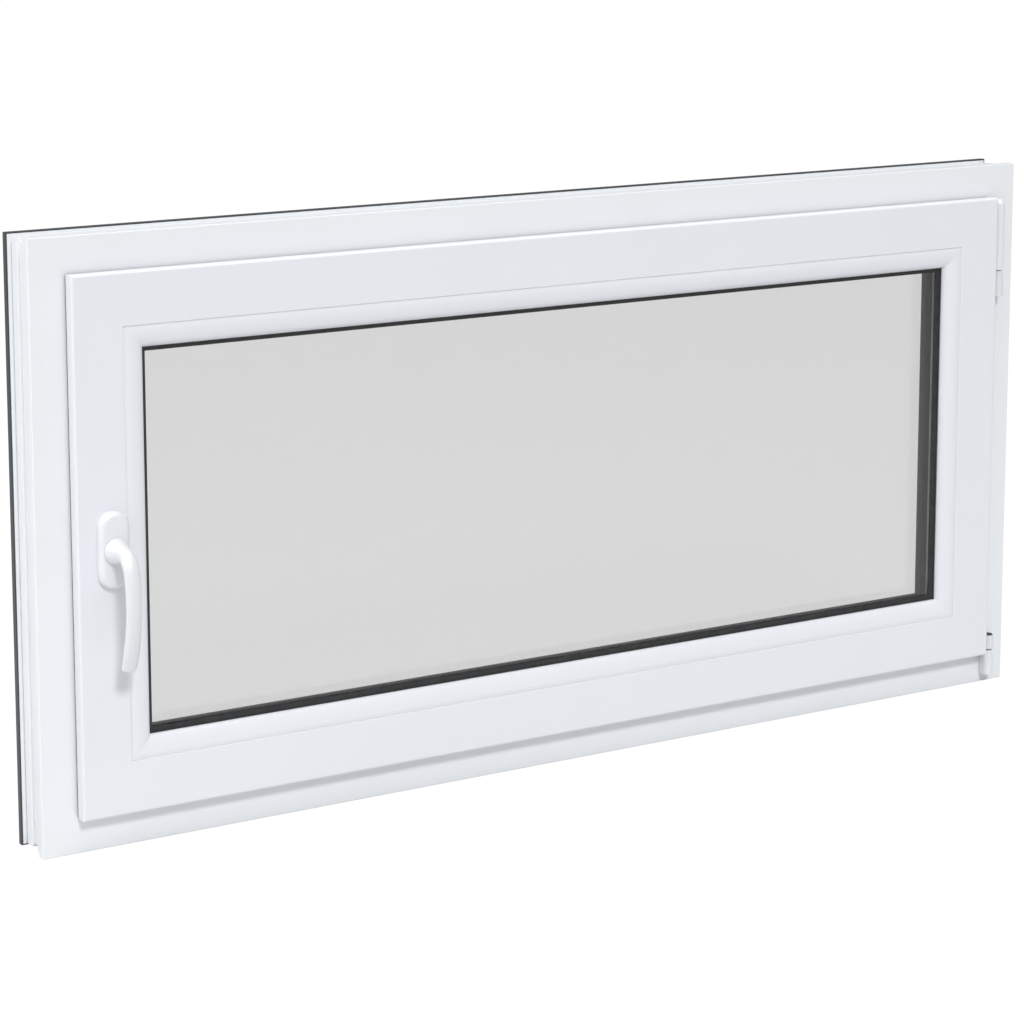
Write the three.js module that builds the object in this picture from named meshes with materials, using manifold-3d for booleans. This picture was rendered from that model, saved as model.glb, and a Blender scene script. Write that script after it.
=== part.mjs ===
// Side-hung tilt-and-turn casement window: a white PVC outer frame and sash with steel cores,
// double glazing, perimeter hardware driven by one lever handle, hinged on the right.
//
// Millimetres, +Z up. Seen from the room, +X runs to the right and +Y runs outdoors.
// Working coordinates start at the frame's lower left outer edge, in the frame's room face.
// The last group moves the origin to the middle of the bottom edge's room-side flange.
import * as THREE from "three";
import { mergeVertices } from "three/addons/utils/BufferGeometryUtils.js";
import Module from "manifold-3d";

const wasm = await Module();
wasm.setup();

// ---------------------------------------------------------------- driving dimensions

const WIDTH = 1200; // outer frame, X
const HEIGHT = 600; // outer frame, Z
const DEPTH = 58; // frame profile, room face to outdoor face
const FLANGE = 9; // flat outer flange beside the room face
const GAP = 0.3; // clearance between neighbouring pieces
const MITRE_INSET = 0.2; // each bar stops this far short of its mitre line

// Distances across a bar, "u", are measured in from the frame's outer edge on every side.
const REBATE = 44; // frame's rebate floor
const FRAME_LIP = 66; // tip of the frame's outdoor lip
const FRAME_LIP_Y = 47; // room side of that lip
const SASH_EDGE = 36; // outer edge of the sash's overlapping lip
const SASH_BODY = 56; // outer face of the sash's body, inside the rebate
const SASH_FRONT_Y = -17; // sash's room face
const LIP_BACK_Y = -3.2; // back of the overlapping lip
const SASH_REAR_Y = 43; // sash's outdoor face
const BEAD_SEAT = 88; // joint between sash face and glazing bead
const GLAZING_REBATE = 90; // floor under the glass edge
const SIGHT_LINE = 110; // visible edge of the glass
const GLASS_EDGE = 95; // cut edge of the glass
const PANE = 4; // glass thickness
const INNER_PANE_Y = -4; // room face of the inner pane
const CAVITY = 16; // gas space between the panes
const STEEL = 1.5; // wall of the steel cores

const GROOVE_Y = 12; // centre line of the hardware groove
const PLATE_FRONT = 56; // outer face of the faceplates, flush with the sash body
const PLATE_BACK = 57.6;
const ROD_FRONT = 57.9; // drive rod, sliding behind the faceplates
const ROD_BACK = 59.44; // also the root line of the rack's teeth
const ROD_HALF = 5.7; // half the rod's width
const CAM_TIP = 48.8; // outer end of the locking cams
const CAM_RADIUS = 5;
const CAM_STEM = 3.2;
const SLOT_HALF = 3.7; // half the width of the cams' slots

const HANDLE_U = 71; // spindle axis from the frame's left edge
const HANDLE_Z = HEIGHT / 2;
const GEAR_MODULE = 1.25;
const GEAR_TEETH = 16;
const PITCH_RADIUS = (GEAR_MODULE * GEAR_TEETH) / 2;
const ROD_TRAVEL = Math.PI * PITCH_RADIUS; // over the handle's 180 degrees
const SCREW_SPACING = 43; // between the two handle screws
const SPINDLE_HALF = 3.5; // half of the 7 mm square spindle

const PIVOT_X = WIDTH - 28; // vertical turning axis
const PIVOT_Y = -9;
const TILT_Z = 36; // height of the bottom tilting axis
const KNUCKLE = 6; // outer radius of both hinge barrels
const PIN = 3; // hinge pin radius
const PIN_PLAY = 0.1;

// ---------------------------------------------------------------- finishes

const finish = (color, roughness, metalness = 0) =>
  new THREE.MeshStandardMaterial({ color, roughness, metalness });

const FINISH = {
  whitePvc: () => finish(0xf1f3f5, 0.3),
  whiteCoat: () => finish(0xf4f6f7, 0.25),
  blackRubber: () => finish(0x2a2b2d, 0.75),
  blackSeal: () => finish(0x1c1d1f, 0.6),
  steel: () => finish(0xb4b8bc, 0.4, 0.9),
  glass: () => finish(0xd8dedd, 0.03),
  spacer: () => finish(0x4b4d50, 0.45, 0.5),
  packer: () => finish(0x33577e, 0.55),
};

// ---------------------------------------------------------------- geometry helpers

// Bare positions, wound so that every face points out of the solid.
function outward(geometry) {
  const bare = geometry.index ? geometry.toNonIndexed() : geometry;
  const p = bare.attributes.position;
  const [a, b, c] = [new THREE.Vector3(), new THREE.Vector3(), new THREE.Vector3()];
  let volume = 0;
  for (let i = 0; i < p.count; i += 3) {
    a.fromBufferAttribute(p, i);
    b.fromBufferAttribute(p, i + 1);
    c.fromBufferAttribute(p, i + 2);
    volume += a.dot(b.cross(c));
  }
  if (volume < 0) {
    for (let i = 0; i < p.count; i += 3) {
      b.fromBufferAttribute(p, i + 1);
      c.fromBufferAttribute(p, i + 2);
      p.setXYZ(i + 1, c.x, c.y, c.z);
      p.setXYZ(i + 2, b.x, b.y, b.z);
    }
  }
  bare.deleteAttribute("uv");
  bare.computeVertexNormals();
  return bare;
}

function toSolid(geometry) {
  const bare = outward(geometry).clone();
  bare.deleteAttribute("normal");
  const welded = mergeVertices(bare, 1e-4);
  return new wasm.Manifold(
    new wasm.Mesh({
      numProp: 3,
      vertProperties: new Float32Array(welded.attributes.position.array),
      triVerts: new Uint32Array(welded.index.array),
    }),
  );
}

function toGeometry(solid) {
  const { vertProperties, triVerts } = solid.getMesh();
  const geometry = new THREE.BufferGeometry();
  geometry.setAttribute("position", new THREE.BufferAttribute(vertProperties, 3));
  geometry.setIndex(new THREE.BufferAttribute(triVerts, 1));
  return outward(geometry);
}

function join(...geometries) {
  const [first, ...rest] = geometries.map(toSolid);
  return toGeometry(rest.reduce((whole, piece) => whole.add(piece), first));
}

function cut(geometry, ...tools) {
  return toGeometry(tools.map(toSolid).reduce((whole, tool) => whole.subtract(tool), toSolid(geometry)));
}

function box([x0, x1], [y0, y1], [z0, z1]) {
  const geometry = new THREE.BoxGeometry(x1 - x0, y1 - y0, z1 - z0);
  return geometry.translate((x0 + x1) / 2, (y0 + y1) / 2, (z0 + z1) / 2);
}

// Cylinder along "x", "y" or "z" between two heights, centred on the other two coordinates.
function cylinder(axis, radius, [from, to], [p, q], segments = 20) {
  const geometry = new THREE.CylinderGeometry(radius, radius, to - from, segments);
  const middle = (from + to) / 2;
  if (axis === "x") return geometry.rotateZ(Math.PI / 2).translate(middle, p, q);
  if (axis === "z") return geometry.rotateX(Math.PI / 2).translate(p, q, middle);
  return geometry.translate(p, middle, q);
}

// Closed outline from corner points [u, y] or [u, y, setback], a setback rounding that corner.
function outline(points, Kind = THREE.Shape) {
  const path = new Kind();
  points.forEach(([u, y, setback = 0], i) => {
    const [bu, by] = points[(i + points.length - 1) % points.length];
    const [nu, ny] = points[(i + 1) % points.length];
    const back = setback / Math.hypot(bu - u, by - y);
    const next = setback / Math.hypot(nu - u, ny - y);
    const start = [u + (bu - u) * back, y + (by - y) * back];
    if (i === 0) path.moveTo(...start);
    else path.lineTo(...start);
    if (setback) path.quadraticCurveTo(u, y, u + (nu - u) * next, y + (ny - y) * next);
  });
  path.closePath();
  return path;
}

function section(points, chambers = []) {
  const shape = outline(points);
  shape.holes = chambers.map((chamber) => outline(chamber, THREE.Path));
  return shape;
}

const rectangle = ([u0, u1], [y0, y1]) => [
  [u0, y0],
  [u1, y0],
  [u1, y1],
  [u0, y1],
];

// The four sides. "across" points in from the outer edge and "along" runs the bar's length.
const SIDES = {
  left: { length: HEIGHT, point: (u, y, t) => [u, y, t] },
  right: { length: HEIGHT, point: (u, y, t) => [WIDTH - u, y, t] },
  bottom: { length: WIDTH, point: (u, y, t) => [t, y, u] },
  top: { length: WIDTH, point: (u, y, t) => [t, y, HEIGHT - u] },
};

// Carries geometry drawn as (u, y, t) onto one side of the window.
function onSide(side, geometry) {
  const p = geometry.attributes.position;
  for (let i = 0; i < p.count; i++) {
    p.setXYZ(i, ...SIDES[side].point(p.getX(i), p.getY(i), p.getZ(i)));
  }
  return outward(geometry);
}

const prism = (shape, depth) =>
  new THREE.ExtrudeGeometry(shape, { depth, bevelEnabled: false, curveSegments: 4 });

// One bar of the section on one side, its two ends cut along the corners' diagonals.
function mitredBar(side, shape) {
  const geometry = prism(shape, 1);
  const p = geometry.attributes.position;
  const { length } = SIDES[side];
  for (let i = 0; i < p.count; i++) {
    const inset = p.getX(i) + MITRE_INSET;
    p.setZ(i, p.getZ(i) < 0.5 ? inset : length - inset);
  }
  return onSide(side, geometry);
}

// A bar of the section between two distances along one side, its ends cut square.
function squareBar(side, shape, [from, to]) {
  return onSide(side, prism(shape, to - from).translate(0, 0, from));
}

// The section carried round all four sides as one ring with mitred corners.
function ring(points) {
  const closed = [...points, points[0]].map(([u, y]) => new THREE.Vector2(u, y));
  const corners = [
    [0, 0],
    [1, 0],
    [1, 1],
    [0, 1],
  ];
  const geometry = new THREE.LatheGeometry(closed, corners.length);
  const p = geometry.attributes.position;
  for (let i = 0; i < p.count; i++) {
    const [right, top] = corners[Math.floor(i / closed.length) % corners.length];
    const { x: u, y } = closed[i % closed.length];
    p.setXYZ(i, right ? WIDTH - u : u, y, top ? HEIGHT - u : u);
  }
  return outward(geometry);
}

function add(group, name, geometry, material) {
  const piece = new THREE.Mesh(outward(geometry), material);
  piece.name = name;
  group.add(piece);
}

// ---------------------------------------------------------------- sections

// Outer frame: flat room face, an outdoor lip, and ribs and grooves round its outer edge.
const FRAME_SECTION = section(
  [
    [0, 0, 1.2],
    [REBATE, 0, 1.5],
    [REBATE, FRAME_LIP_Y],
    [59, FRAME_LIP_Y],
    [59, 49.5],
    [62, 49.5],
    [62, FRAME_LIP_Y],
    [FRAME_LIP, FRAME_LIP_Y, 0.8],
    [FRAME_LIP, 53, 1.5],
    [61, DEPTH, 1.5],
    [0, DEPTH, 1],
    [0, 50.5, 0.6],
    [6, 50.5],
    [6, 45],
    [3.5, 45, 0.6],
    [3.5, 32, 0.6],
    [6, 32],
    [6, 18],
    [2.5, 18, 0.6],
    [2.5, 12, 0.6],
    [5.5, 12],
    [5.5, FLANGE],
    [0, FLANGE, 0.6],
  ],
  [
    rectangle([8.5, 41.2], [2.8, 8.5]),
    rectangle([9, 41.2], [10, 35]),
    rectangle([9, 41.2], [37, 48.5]),
    rectangle([9, 62], [51.5, 55.2]),
  ],
);

// Sash: overlapping lip, hardware groove in the outer face, and a sloped outdoor glazing lip.
const SASH_SECTION = section(
  [
    [SASH_EDGE, SASH_FRONT_Y, 2.6],
    [BEAD_SEAT, SASH_FRONT_Y, 1.2],
    [BEAD_SEAT, -12.6],
    [GLAZING_REBATE, -12.6],
    [GLAZING_REBATE, 24],
    [103, 24],
    [103, 26.5],
    [106, 26.5],
    [106, 24],
    [SIGHT_LINE, 24, 0.5],
    [SIGHT_LINE, 29, 1.2],
    [96, SASH_REAR_Y, 1.2],
    [SASH_BODY, SASH_REAR_Y, 1],
    [SASH_BODY, 20],
    [59.5, 20],
    [59.5, 18],
    [67, 18],
    [67, 6],
    [59.5, 6],
    [59.5, 4],
    [SASH_BODY, 4],
    [SASH_BODY, LIP_BACK_Y],
    [42, LIP_BACK_Y],
    [42, -5.7],
    [39, -5.7],
    [39, LIP_BACK_Y],
    [SASH_EDGE, LIP_BACK_Y, 0.6],
  ],
  [
    rectangle([44.5, 57], [-14.1, -6]),
    rectangle([59, 85.5], [-14.3, 1.5]),
    rectangle([70, 87.3], [4.1, 30.9]),
    rectangle([59, 67.8], [22.5, 31.2]),
    rectangle([59, 88], [33.4, 40.3]),
    rectangle([90.5, 97.5], [28.5, 38.5]),
  ],
);

// Glazing bead: a hollow strip clipped in beside the sash's room face. Its convex face rises
// out of the joint, runs level with the sash and falls away to a nose over the glass.
function beadSection() {
  const [jointY, crestU, noseY] = [-16, 94.5, -9.6];
  const shape = new THREE.Shape();
  shape.moveTo(BEAD_SEAT + GAP, jointY);
  shape.bezierCurveTo(90, SASH_FRONT_Y + 0.25, 92, SASH_FRONT_Y, crestU, SASH_FRONT_Y);
  shape.bezierCurveTo(101.5, SASH_FRONT_Y, SIGHT_LINE - 0.3, -14.6, SIGHT_LINE, noseY);
  shape.lineTo(SIGHT_LINE, -7.4);
  shape.lineTo(100.8, -7.4);
  shape.lineTo(100.8, -4.7);
  shape.lineTo(GLAZING_REBATE + GAP, -4.7);
  shape.lineTo(GLAZING_REBATE + GAP, -12.9);
  shape.lineTo(BEAD_SEAT + GAP, -12.9);
  shape.closePath();
  const chamber = [
    [93, -14.2],
    [98, -13.8],
    [104, -10],
    [98.3, -10],
    [98.3, -7.2],
    [93, -7.2],
  ];
  shape.holes = [outline(chamber, THREE.Path)];
  return shape;
}

// Channel-shaped steel core filling the chamber [u0, u1] x [y0, y1], open on its "inner" or
// "outer" side, which is the side towards the glass or towards the wall.
function channelSection([u0, u1], [y0, y1], open) {
  const [web, tip, step] = open === "inner" ? [u0, u1, STEEL] : [u1, u0, -STEEL];
  return section([
    [web, y0],
    [tip, y0],
    [tip, y0 + STEEL],
    [web + step, y0 + STEEL],
    [web + step, y1 - STEEL],
    [tip, y1 - STEEL],
    [tip, y1],
    [web, y1],
  ]);
}

// ---------------------------------------------------------------- outer frame

const window_ = new THREE.Group();
const frame = new THREE.Group();
const DRAIN_X = [210, WIDTH - 210]; // centres of the two drain slots
const DRAIN_Z = 18;

function buildFrameBars() {
  const core = channelSection([9.4, 40.8], [10.4, 34.6], "inner");
  const coreEnd = 47; // the cores stop short of the corner welds
  for (const side of Object.keys(SIDES)) {
    let bar = mitredBar(side, FRAME_SECTION);
    if (side === "bottom") {
      const slots = DRAIN_X.map((x) => box([x - 14, x + 14], [54, DEPTH + 1], [DRAIN_Z - 2.5, DRAIN_Z + 2.5]));
      bar = cut(bar, ...slots);
    }
    add(frame, `frame_bar_${side}`, bar, FINISH.whitePvc());
    const reach = [coreEnd, SIDES[side].length - coreEnd];
    add(frame, `frame_core_${side}`, squareBar(side, core, reach), FINISH.steel());
  }
}

// Rubber seal clipped into the outdoor lip, its bulb just clear of the closed sash.
function buildFrameGasket() {
  const points = [
    [57.6, 44.6],
    [58.8, 43.5],
    [62.6, 43.5],
    [63.8, 44.6],
    [63.8, 46.6],
    [61.6, 46.6],
    [61.6, 49.1],
    [59.4, 49.1],
    [59.4, 46.6],
    [57.6, 46.6],
  ];
  add(frame, "frame_gasket", ring(points), FINISH.blackRubber());
}

// Small hoods over the drain slots, sloping down and outwards.
function buildDrainCaps() {
  const hood = outline([
    [DEPTH + 0.1, DRAIN_Z - 6, 0.8],
    [DEPTH + 4, DRAIN_Z - 6, 1],
    [DEPTH + 4, DRAIN_Z + 2, 2],
    [DEPTH + 0.1, DRAIN_Z + 7, 0.8],
  ]);
  const hollow = box([-17, 17], [DEPTH - 1, DEPTH + 2.6], [DRAIN_Z - 7, DRAIN_Z + 2.6]);
  DRAIN_X.forEach((x, i) => {
    const solid = prism(hood, 38).translate(0, 0, -19);
    const p = solid.attributes.position;
    for (let k = 0; k < p.count; k++) p.setXYZ(k, p.getZ(k), p.getX(k), p.getY(k));
    const cap = cut(solid, hollow).translate(x, 0, 0);
    add(frame, `drain_cap_${["left", "right"][i]}`, cap, FINISH.blackRubber());
  });
}

// Striker plates on the rebate floor. The cams slide over the low room-side ridge and in
// front of the high outdoor block. "at" is the cam's place with the handle down.
function keep(side, at, towards) {
  const swept = [Math.min(at, at + towards * ROD_TRAVEL), Math.max(at, at + towards * ROD_TRAVEL)];
  const length = [swept[0] - 14, swept[1] + 14];
  const face = REBATE + GAP;
  const plate = box([face, face + 2], [3, 26], length);
  const ridge = box([face + 1, CAM_TIP - 1.3], [3, 6.2], [length[0] + 8, length[1] - 8]);
  const block = box([face + 1, 53], [GROOVE_Y + CAM_RADIUS + 1.5, 25], [length[0] + 8, length[1] - 8]);
  const screws = [length[0] + 4, length[1] - 4].map((t) =>
    cylinder("x", 2.1, [face - 1, face + 4], [GROOVE_Y + 2, t], 12),
  );
  return onSide(side, cut(join(plate, ridge, block), ...screws));
}

// Locking points: side, place along the side, and the way the rod carries the cam.
const LOCKS = {
  left_upper: { side: "left", at: 455, towards: -1 },
  left_lower: { side: "left", at: 190, towards: -1 },
  top: { side: "top", at: 330, towards: -1 },
  bottom: { side: "bottom", at: 240, towards: 1 },
};

function buildKeeps() {
  for (const [place, { side, at, towards }] of Object.entries(LOCKS)) {
    add(frame, `keep_${place}`, keep(side, at, towards), FINISH.steel());
  }
}

// ---------------------------------------------------------------- hinges

const pivotAxis = [PIVOT_X, PIVOT_Y];
const FACE_GAP_Y = [-2.9, -0.6]; // room for a strap between the sash's lip and the frame

// Barrel round the turning axis with a foot screwed to the frame's room face.
function frameBearing([z0, z1], [plate0, plate1], barrel) {
  const body = cylinder("z", barrel, [z0, z1], pivotAxis);
  const web = box([PIVOT_X - 3.5, PIVOT_X + 3.5], [PIVOT_Y, -0.2], [z0, z1]);
  const foot = box([PIVOT_X - 5.5, PIVOT_X + 13], [-2.6, -0.2], [plate0, plate1]);
  const bore = cylinder("z", PIN + PIN_PLAY, [z0 - 1, z1 + 1], pivotAxis);
  const screws = [plate0 + 5, plate1 - 5].map((z) => cylinder("y", 1.9, [-4, 1], [PIVOT_X + 9, z], 12));
  return cut(join(body, web, foot), bore, ...screws);
}

function buildLowerHinge(sash, pivot) {
  const capTop = 33.8;
  add(frame, "corner_bearing", frameBearing([14, 32.5], [10, 33], 4.6), FINISH.whiteCoat());

  // White cap over the bearing: a round front, two cheeks down to the foot and a collar that
  // stands round the ball.
  const shell = cylinder("z", KNUCKLE, [11, capTop], pivotAxis, 24);
  const cheeks = box([PIVOT_X - KNUCKLE, PIVOT_X + KNUCKLE], [PIVOT_Y, FACE_GAP_Y[0]], [11, capTop]);
  const collar = cylinder("z", 5.2, [capTop - 1, 39.4], pivotAxis, 24);
  const barrelRoom = cylinder("z", 4.9, [13, capTop - 0.8], pivotAxis);
  const webRoom = box([PIVOT_X - 4.4, PIVOT_X + 4.4], [PIVOT_Y, 0], [13, capTop - 0.8]);
  const ballRoom = cylinder("z", 4, [capTop - 2, 40], pivotAxis);
  const cap = cut(join(shell, cheeks, collar), barrelRoom, webRoom, ballRoom);
  add(frame, "corner_bearing_cap", cap, FINISH.whiteCoat());

  // Pin that turns in the bearing, its ball head carrying the sash at the tilting axis.
  const ball = 3.7;
  const seat = Math.asin(2.2 / ball);
  const profile = [new THREE.Vector2(0, 15), new THREE.Vector2(PIN, 15), new THREE.Vector2(PIN, 32)];
  const arcs = 5;
  for (let i = 0; i < arcs; i++) {
    const angle = (Math.PI - seat) * (1 - i / arcs);
    profile.push(new THREE.Vector2(ball * Math.sin(angle), TILT_Z + ball * Math.cos(angle)));
  }
  profile.push(new THREE.Vector2(0, TILT_Z + ball));
  const pin = new THREE.LatheGeometry(profile, 20).rotateX(Math.PI / 2);
  add(pivot, "corner_pivot_pin", pin.translate(PIVOT_X, PIVOT_Y, 0), FINISH.steel());

  // Strap on the sash: socket over the ball, a leg behind the lip and a plate in the rebate.
  const socketZ = [41, 57];
  const socket = cylinder("z", KNUCKLE, socketZ, pivotAxis, 24);
  const hole = cylinder("z", 3.4, [40, 58], pivotAxis);
  const web = box([PIVOT_X - 6, PIVOT_X + 2], [PIVOT_Y + 3.6, FACE_GAP_Y[1]], socketZ);
  const bodyX = WIDTH - SASH_BODY + GAP;
  const leg = box([bodyX, PIVOT_X - 4], FACE_GAP_Y, socketZ);
  const upright = box([bodyX, bodyX + 3], FACE_GAP_Y, [41, 120]);
  const plate = box([bodyX, bodyX + 3], [FACE_GAP_Y[0], 36], [60, 120]);
  const screws = [72, 90, 108].map((z) => cylinder("x", 2.1, [bodyX - 1, bodyX + 4], [25, z], 12));
  const strap = cut(join(socket, web, leg, upright, plate), hole, ...screws);
  add(sash, "corner_strap", strap, FINISH.whiteCoat());
}

function buildUpperHinge(stay) {
  // Bearing with a slimmer neck on top, and a counterbore below that hides the pin's head.
  const neck = cylinder("z", 4.9, [470, 480.6], pivotAxis, 24);
  const bearing = cut(
    join(frameBearing([452, 471], [453, 476], KNUCKLE), neck),
    cylinder("z", PIN + PIN_PLAY, [460, 481], pivotAxis),
    cylinder("z", 4.5, [451, 456.5], pivotAxis),
  );
  add(frame, "stay_bearing", bearing, FINISH.whiteCoat());
  const pin = join(
    cylinder("z", PIN, [453, 546], pivotAxis),
    cylinder("z", 4.2, [452.6, 456.2], pivotAxis),
  );
  add(frame, "stay_bearing_pin", pin, FINISH.steel());

  // Scissor stay: knuckle on the pin, a strap past the sash's lip, and the arm over the sash.
  const knuckle = cylinder("z", 4.8, [484, 545], pivotAxis);
  const web = box([PIVOT_X - 5.5, PIVOT_X + 2], [PIVOT_Y + 3.4, FACE_GAP_Y[1]], [515, 545]);
  const crankX = [WIDTH - 51.5, WIDTH - 49];
  const leg = box([crankX[0], PIVOT_X - 4], FACE_GAP_Y, [515, 545]);
  const crank = box(crankX, [FACE_GAP_Y[0], GROOVE_Y + 6], [515, 553]);
  const armX0 = PIVOT_X - 330;
  const arm = box([armX0 - 8, crankX[1]], [GROOVE_Y - 6, GROOVE_Y + 6], [550, 553]);
  const glide = cylinder("z", 4.5, [546.6, 551], [armX0, GROOVE_Y]);
  const bore = cylinder("z", PIN + PIN_PLAY, [483, 550], pivotAxis);
  const slots = [0.3, 0.55, 0.8].map((k) => {
    const x = armX0 + k * (crankX[0] - armX0);
    return box([x - 18, x + 18], [GROOVE_Y - 2.2, GROOVE_Y + 2.2], [549, 554]);
  });
  add(stay, "stay_arm", cut(join(knuckle, web, leg, crank, arm, glide), bore, ...slots), FINISH.steel());

  // White domed cover over the stay's knuckle, open on the side where the strap leaves.
  const [foot, shoulder] = [482, 556];
  const domed = [new THREE.Vector2(0, foot), new THREE.Vector2(KNUCKLE, foot)];
  const arcs = 4;
  for (let i = 0; i < arcs; i++) {
    const angle = (Math.PI / 2) * (i / arcs);
    domed.push(new THREE.Vector2(KNUCKLE * Math.cos(angle), shoulder + KNUCKLE * Math.sin(angle)));
  }
  domed.push(new THREE.Vector2(0, shoulder + KNUCKLE));
  const cover = new THREE.LatheGeometry(domed, 24).rotateX(Math.PI / 2);
  cover.translate(PIVOT_X, PIVOT_Y, 0);
  const inside = cylinder("z", 5.1, [481, 548], pivotAxis);
  const opening = box([PIVOT_X - 9, PIVOT_X + 4], [-5.9, 0], [513, 547]);
  add(stay, "stay_cover", cut(cover, inside, opening), FINISH.whiteCoat());
}

// ---------------------------------------------------------------- sash and glazing

const sash = new THREE.Group();

function buildSashBars() {
  const core = channelSection([70.4, 86.9], [4.4, 30.6], "outer");
  const coreEnd = 92;
  const passages = [
    cylinder("y", 6.8, [SASH_FRONT_Y - 1, 8], [HANDLE_U, HANDLE_Z]),
    ...[-1, 1].map((k) =>
      cylinder("y", 2.9, [SASH_FRONT_Y - 1, 8], [HANDLE_U, HANDLE_Z + (k * SCREW_SPACING) / 2], 12),
    ),
  ];
  const pocket = box([59, 84.8], [3.9, 20.1], [HANDLE_Z - 48, HANDLE_Z + 48]);
  for (const side of Object.keys(SIDES)) {
    let bar = mitredBar(side, SASH_SECTION);
    let steel = squareBar(side, core, [coreEnd, SIDES[side].length - coreEnd]);
    if (side === "left") {
      bar = cut(bar, pocket, ...passages);
      steel = cut(steel, ...passages);
    }
    add(sash, `sash_bar_${side}`, bar, FINISH.whitePvc());
    add(sash, `sash_core_${side}`, steel, FINISH.steel());
    add(sash, `bead_${side}`, mitredBar(side, beadSection()), FINISH.whitePvc());
  }
}

function buildGlazing() {
  const outerY = INNER_PANE_Y + PANE + CAVITY;
  const wide = [GLASS_EDGE, WIDTH - GLASS_EDGE];
  const high = [GLASS_EDGE, HEIGHT - GLASS_EDGE];
  add(sash, "pane_inner", box(wide, [INNER_PANE_Y, INNER_PANE_Y + PANE], high), FINISH.glass());
  add(sash, "pane_outer", box(wide, [outerY, outerY + PANE], high), FINISH.glass());

  const between = [INNER_PANE_Y + PANE + GAP, outerY - GAP];
  add(sash, "spacer_frame", ring(rectangle([99, 105.5], between)), FINISH.spacer());
  add(sash, "edge_seal", ring(rectangle([GLASS_EDGE + GAP, 98.7], between)), FINISH.blackSeal());

  const innerGasket = [
    [101.1, -7.1],
    [SIGHT_LINE + 0.2, -7.1],
    [115, -5],
    [115.2, -4.3],
    [101.1, -4.3],
  ];
  add(sash, "glazing_gasket_inner", ring(innerGasket), FINISH.blackRubber());
  const outerGasket = [
    [101.5, 20.3],
    [109.4, 20.3],
    [109.9, 22],
    [109.4, 23.7],
    [105.7, 23.7],
    [105.7, 26.2],
    [103.3, 26.2],
    [103.3, 23.7],
    [101.5, 23.7],
  ];
  add(sash, "glazing_gasket_outer", ring(outerGasket), FINISH.blackRubber());

  [200, WIDTH - 200].forEach((x, i) => {
    const block = box([x - 50, x + 50], [-3.5, 19.5], [GLAZING_REBATE + GAP, GLASS_EDGE - GAP]);
    add(sash, `setting_block_${["left", "right"][i]}`, block, FINISH.packer());
  });
}

// Seal round the back of the overlapping lip, notched where the two hinge straps pass.
function buildOverlapGasket() {
  const seal = ring([
    [36.5, -2.9],
    [39.4, -2.9],
    [39.4, -5.4],
    [41.6, -5.4],
    [41.6, -2.9],
    [43.6, -2.9],
    [43.6, -1.6],
    [42.4, -0.4],
    [37.7, -0.4],
    [36.5, -1.6],
  ]);
  const notch = (z) => box([WIDTH - 58, WIDTH - 34], [FACE_GAP_Y[0] - GAP, 0], z);
  add(sash, "overlap_gasket", cut(seal, notch([39.5, 122]), notch([513, 547])), FINISH.blackRubber());
}

// ---------------------------------------------------------------- drive hardware

const plateY = [GROOVE_Y - 7.7, GROOVE_Y + 7.7];
const CORNER_LEG = 60; // length of the corner drives' legs

function camSlot({ at, towards }) {
  const ends = [at - towards * 5, at + towards * (ROD_TRAVEL + 5)].sort((a, b) => a - b);
  return box([PLATE_FRONT - 1, PLATE_BACK + 1], [GROOVE_Y - SLOT_HALF, GROOVE_Y + SLOT_HALF], ends);
}

function camOn({ at }) {
  return join(
    cylinder("x", CAM_STEM, [CAM_TIP + 2, ROD_BACK - 0.5], [GROOVE_Y, at], 16),
    cylinder("x", CAM_RADIUS, [CAM_TIP, CAM_TIP + 4], [GROOVE_Y, at], 16),
  );
}

const locksOn = (side) => Object.values(LOCKS).filter((lock) => lock.side === side);

function buildFaceplates() {
  const reaches = {
    left: [SASH_BODY + CORNER_LEG + GAP, HEIGHT - SASH_BODY - CORNER_LEG - GAP],
    top: [SASH_BODY + CORNER_LEG + GAP, 900],
    bottom: [SASH_BODY + CORNER_LEG + GAP, 480],
  };
  for (const [side, reach] of Object.entries(reaches)) {
    const strip = box([PLATE_FRONT, PLATE_BACK], plateY, reach);
    const holes = [reach[0] + 12, reach[1] - 12].map((t) =>
      cylinder("x", 2.1, [PLATE_FRONT - 1, PLATE_BACK + 1], [GROOVE_Y, t], 12),
    );
    const plate = cut(strip, ...holes, ...locksOn(side).map(camSlot));
    add(sash, `faceplate_${side}`, onSide(side, plate), FINISH.steel());
  }
}

// Angle plates over the two corners on the handle side, where the drive turns the corner.
function buildCornerDrives() {
  const legs = [SASH_BODY, SASH_BODY + CORNER_LEG];
  const skin = [SASH_BODY, SASH_BODY + PLATE_BACK - PLATE_FRONT];
  for (const end of ["bottom", "top"]) {
    const flip = ([a, b]) => (end === "bottom" ? [a, b] : [HEIGHT - b, HEIGHT - a]);
    const angle = join(box(skin, plateY, flip(legs)), box(legs, plateY, flip(skin)));
    const holes = [
      cylinder("x", 2.1, [skin[0] - 1, skin[1] + 1], [GROOVE_Y, flip([96, 96])[0]], 12),
      cylinder("z", 2.1, flip([skin[0] - 1, skin[1] + 1]), [96, GROOVE_Y], 12),
    ];
    add(sash, `corner_drive_${end}`, cut(angle, ...holes), FINISH.steel());
  }
}

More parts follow.
